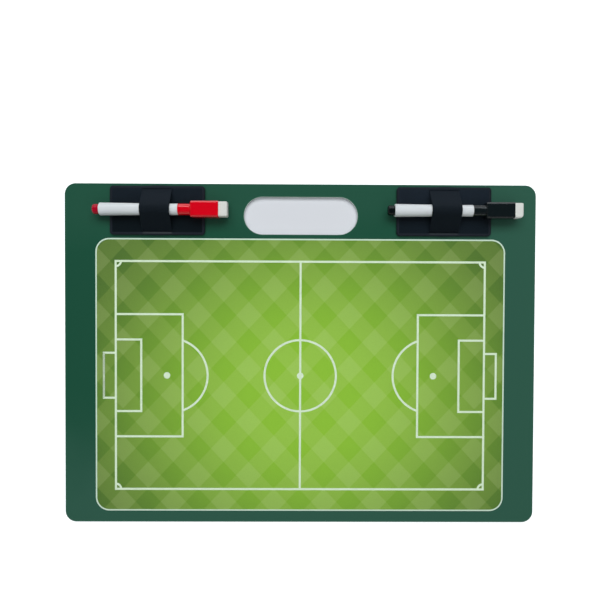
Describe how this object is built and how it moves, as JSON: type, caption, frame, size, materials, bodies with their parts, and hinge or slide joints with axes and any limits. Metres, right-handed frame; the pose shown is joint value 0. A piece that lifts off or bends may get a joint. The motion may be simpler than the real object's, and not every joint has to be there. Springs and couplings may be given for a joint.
{
  "type": "tactics board",
  "caption": "Flat rounded board with a carrying hole, a printed dry-erase football pitch, and pen holders with elastic loops gripping capped mini markers.",
  "frame": {"origin": "middle of the board's flat back face, which lies on the surface", "axes": "+X along the board's long side towards the caps of the markers, +Y towards the carrying hole, +Z out of the pitch face"},
  "size_m": [0.43, 0.31, 0.019],
  "materials": {
    "green_cover": "satin",
    "white_core": "matte, cut foam",
    "white_panel": "satin",
    "grass_print": "printed, diamond check in two greens",
    "line_ink": "printed white",
    "clear_film": "clear gloss laminate",
    "adhesive_tape": "matte",
    "holder_leatherette": "fine grained leatherette",
    "elastic_webbing": "woven elastic",
    "white_plastic": "semi-gloss moulded",
    "red_plastic": "gloss moulded",
    "black_plastic": "gloss moulded",
    "red_ink_fibre": "ink-soaked fibre",
    "black_ink_fibre": "ink-soaked fibre",
    "eraser_felt": "pressed felt"
  },
  "bodies": {
    "board": {"back_cover": "green_cover", "board_core": "white_core", "front_cover": "green_cover", "pitch_panel": "white_panel", "pitch_print": "grass_print", "pitch_markings": "line_ink", "dry_erase_film": "clear_film", "left_holder_tape": "adhesive_tape", "left_holder_backing": "holder_leatherette", "left_holder_patch": "holder_leatherette", "left_holder_elastic_loop": "elastic_webbing", "right_holder_tape": "adhesive_tape", "right_holder_backing": "holder_leatherette", "right_holder_patch": "holder_leatherette", "right_holder_elastic_loop": "elastic_webbing"},
    "red_marker": {"red_marker_barrel": "white_plastic", "red_marker_tail_plug": "red_plastic", "red_marker_ink_reservoir": "red_ink_fibre", "red_marker_front_section": "white_plastic", "red_marker_nib": "red_ink_fibre"},
    "red_cap": {"red_marker_cap": "red_plastic", "red_marker_eraser": "eraser_felt"},
    "black_marker": {"black_marker_barrel": "white_plastic", "black_marker_tail_plug": "black_plastic", "black_marker_ink_reservoir": "black_ink_fibre", "black_marker_front_section": "white_plastic", "black_marker_nib": "black_ink_fibre"},
    "black_cap": {"black_marker_cap": "black_plastic", "black_marker_eraser": "eraser_felt"}
  },
  "joints": [
    {"name": "red_marker_slide", "type": "slide", "parent": "board", "child": "red_marker", "axis": [1, 0, 0], "range_m": [-0.0175, 0.072]},
    {"name": "red_cap_pull", "type": "slide", "parent": "red_marker", "child": "red_cap", "axis": [1, 0, 0], "range_m": [0, 0.025]},
    {"name": "black_marker_slide", "type": "slide", "parent": "board", "child": "black_marker", "axis": [1, 0, 0], "range_m": [-0.021, 0.068]},
    {"name": "black_cap_pull", "type": "slide", "parent": "black_marker", "child": "black_cap", "axis": [1, 0, 0], "range_m": [0, 0.025]}
  ]
}
